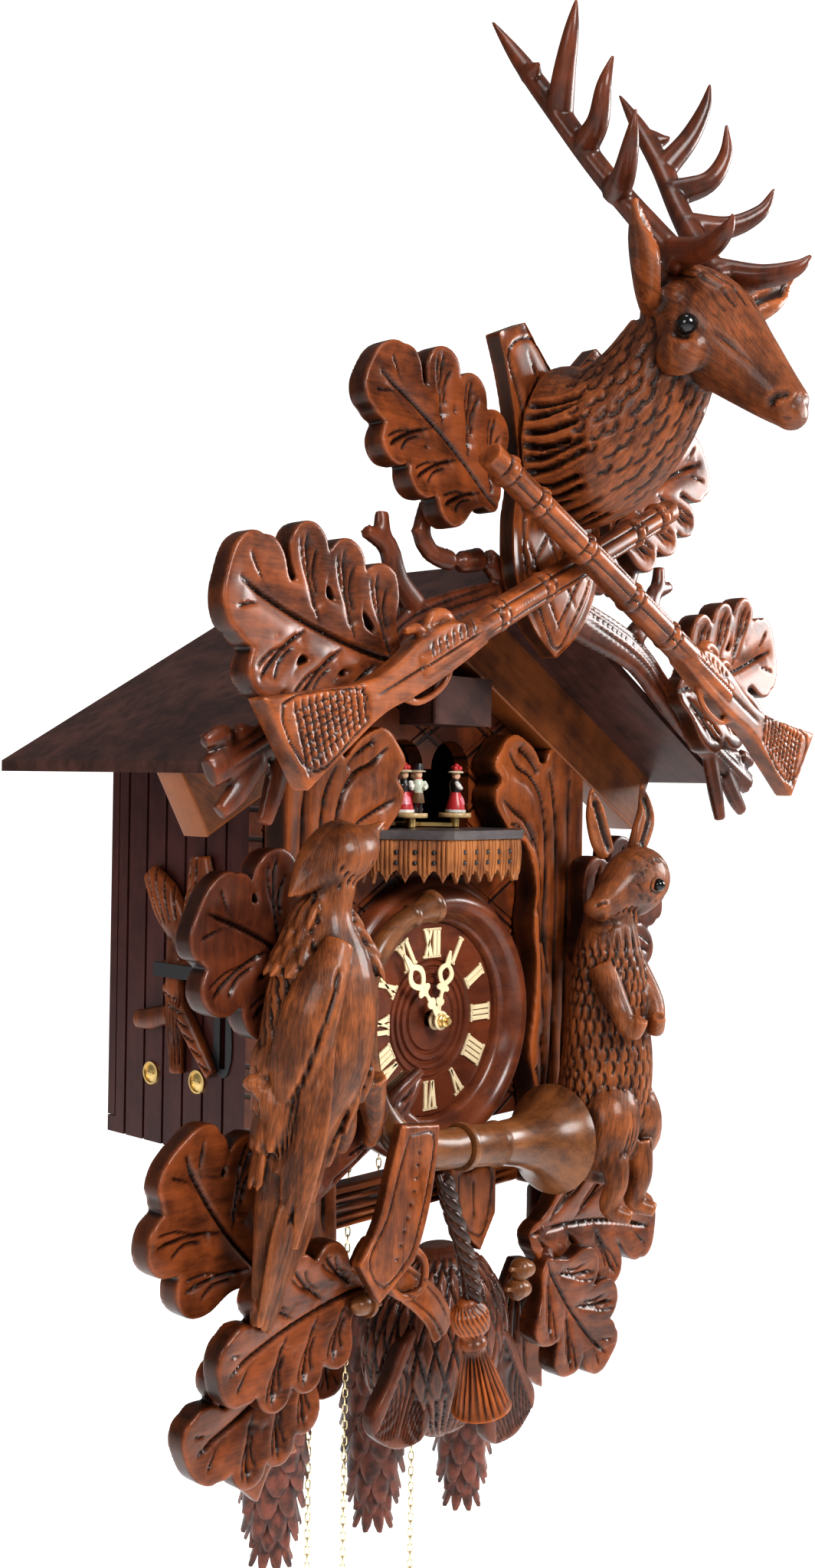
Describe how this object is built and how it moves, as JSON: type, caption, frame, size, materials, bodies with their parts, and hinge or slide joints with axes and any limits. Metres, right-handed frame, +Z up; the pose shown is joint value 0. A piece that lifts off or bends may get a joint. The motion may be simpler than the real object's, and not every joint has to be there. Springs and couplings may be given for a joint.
{
  "type": "cuckoo clock",
  "caption": "Wall-hung carved cuckoo clock: gabled case with stag-head crown, dial, dancer carousel, carved game, chains, cone weights and pendulum.",
  "frame": {"origin": "centre of the wall-hanger hole on the case's back face, in the wall plane", "axes": "+X to the right of someone facing the dial, +Y into the wall, +Z up"},
  "size_m": [0.532, 0.4172, 1.1833],
  "materials": {
    "carved_wood": "carved, stained reddish brown with dark recesses, satin varnish",
    "side_wood": "dark plum-brown stained boards, satin",
    "roof_wood": "grey-brown stained boards, matte",
    "front_wood": "orange-red brown stained panel, satin",
    "trim_wood": "golden brown stained, satin",
    "deck_wood": "dark grey stained board, satin",
    "horn_wood": "turned olive-brown wood, satin",
    "dial_wood": "turned and stained disc, satin",
    "ivory_plastic": "cream moulded",
    "black_glass": "black bead, polished",
    "brass": "brushed",
    "chain_brass": "bright drawn wire",
    "cone_iron": "cast scales, painted dark reddish brown",
    "painted_bird": "painted carved bird",
    "painted_figures": "hand-painted figures on light wooden discs",
    "black_rod": "black stained rod",
    "black_metal": "black sheet steel"
  },
  "bodies": {
    "case": {"case_front": "front_wood", "case_side_left": "side_wood", "case_side_right": "side_wood", "case_bottom": "side_wood", "case_back": "side_wood", "roof_left": "roof_wood", "roof_right": "roof_wood", "gable_trim": "trim_wood", "door_surround": "roof_wood", "balcony_deck": "deck_wood", "balcony_valance": "trim_wood", "dial_ring": "carved_wood", "dial_plate": "dial_wood", "numerals": "ivory_plastic", "movement_frame": "brass", "carved_frames": "carved_wood", "bottom_beam": "carved_wood", "crown_board": "carved_wood", "shield": "carved_wood", "stag_head": "carved_wood", "antlers": "carved_wood", "glass_eyes": "black_glass", "hunting_rifles": "carved_wood", "upper_oak_leaves": "carved_wood", "side_ornament": "side_wood", "bird_on_branch": "carved_wood", "hare": "carved_wood", "hunting_horn": "horn_wood", "carved_straps": "carved_wood", "game_bag": "carved_wood", "tassel": "carved_wood", "lower_oak_leaves": "carved_wood", "ribbons": "carved_wood", "chain_left_free_side": "chain_brass", "chain_centre_free_side": "chain_brass", "chain_right_free_side": "chain_brass", "chain_hanks": "chain_brass", "chain_rings": "chain_brass"},
    "back_door": {"back_door": "side_wood"},
    "cuckoo_door": {"cuckoo_door": "roof_wood"},
    "cuckoo": {"cuckoo": "painted_bird"},
    "minute_work": {"minute_hand": "ivory_plastic", "centre_arbor": "brass", "hand_nut": "brass"},
    "hour_work": {"hour_hand": "ivory_plastic"},
    "carousel": {"carousel": "brass", "dancing_couples": "painted_figures"},
    "pendulum": {"pendulum": "black_rod", "pendulum_bob": "carved_wood"},
    "silencing_lever": {"silencing_lever": "black_metal"},
    "weight_left": {"weight_left": "cone_iron", "chain_left_weight_side": "chain_brass"},
    "chain_wheel_left": {"chain_wheel_left": "brass"},
    "weight_centre": {"weight_centre": "cone_iron", "chain_centre_weight_side": "chain_brass"},
    "chain_wheel_centre": {"chain_wheel_centre": "brass"},
    "weight_right": {"weight_right": "cone_iron", "chain_right_weight_side": "chain_brass"},
    "chain_wheel_right": {"chain_wheel_right": "brass"}
  },
  "joints": [
    {"name": "minute_spin", "type": "hinge", "parent": "case", "child": "minute_work", "pos_m": [0, -0.1, -0.2225], "axis": [0, 1, 0], "continuous": true},
    {"name": "hour_spin", "type": "hinge", "parent": "case", "child": "hour_work", "pos_m": [0, -0.13, -0.2225], "axis": [0, 1, 0], "continuous": true},
    {"name": "cuckoo_door_hinge", "type": "hinge", "parent": "case", "child": "cuckoo_door", "pos_m": [-0.0258, -0.1734, -0.0165], "axis": [0, 0, -1], "range_deg": [0, 100]},
    {"name": "cuckoo_slide", "type": "slide", "parent": "case", "child": "cuckoo", "axis": [0, -1, 0], "range_m": [0, 0.036]},
    {"name": "carousel_spin", "type": "hinge", "parent": "case", "child": "carousel", "pos_m": [0, -0.1285, -0.1], "axis": [0, 0, 1], "continuous": true},
    {"name": "pendulum_swing", "type": "hinge", "parent": "case", "child": "pendulum", "pos_m": [0.004, -0.052, -0.15], "axis": [0, 1, 0], "range_deg": [-6, 6]},
    {"name": "silencing_slide", "type": "slide", "parent": "case", "child": "silencing_lever", "axis": [0, 0, 1], "range_m": [-0.045, 0.015]},
    {"name": "back_door_hinge", "type": "hinge", "parent": "case", "child": "back_door", "pos_m": [0.141, -0.0025, -0.17], "axis": [0, 0, -1], "range_deg": [0, 100]},
    {"name": "weight_left_fall", "type": "slide", "parent": "case", "child": "weight_left", "axis": [0, 0, -1], "range_m": [0, 0.12]},
    {"name": "chain_wheel_left_turn", "type": "hinge", "parent": "case", "child": "chain_wheel_left", "pos_m": [-0.065, -0.094, -0.246], "axis": [0, 1, 0], "continuous": true},
    {"name": "weight_centre_fall", "type": "slide", "parent": "case", "child": "weight_centre", "axis": [0, 0, -1], "range_m": [0, 0.12]},
    {"name": "chain_wheel_centre_turn", "type": "hinge", "parent": "case", "child": "chain_wheel_centre", "pos_m": [-0.0015, -0.094, -0.246], "axis": [0, 1, 0], "continuous": true},
    {"name": "weight_right_fall", "type": "slide", "parent": "case", "child": "weight_right", "axis": [0, 0, -1], "range_m": [0, 0.12]},
    {"name": "chain_wheel_right_turn", "type": "hinge", "parent": "case", "child": "chain_wheel_right", "pos_m": [0.0785, -0.094, -0.246], "axis": [0, 1, 0], "continuous": true}
  ],
  "couplings": [
    {"joint": "hour_spin", "follows": "minute_spin", "ratio": 0.083333},
    {"joint": "cuckoo_slide", "follows": "cuckoo_door_hinge", "m_per_rad": 0.02},
    {"joint": "chain_wheel_left_turn", "follows": "weight_left_fall", "rad_per_m": -62.5},
    {"joint": "chain_wheel_centre_turn", "follows": "weight_centre_fall", "rad_per_m": 68.966},
    {"joint": "chain_wheel_right_turn", "follows": "weight_right_fall", "rad_per_m": 36.364}
  ]
}
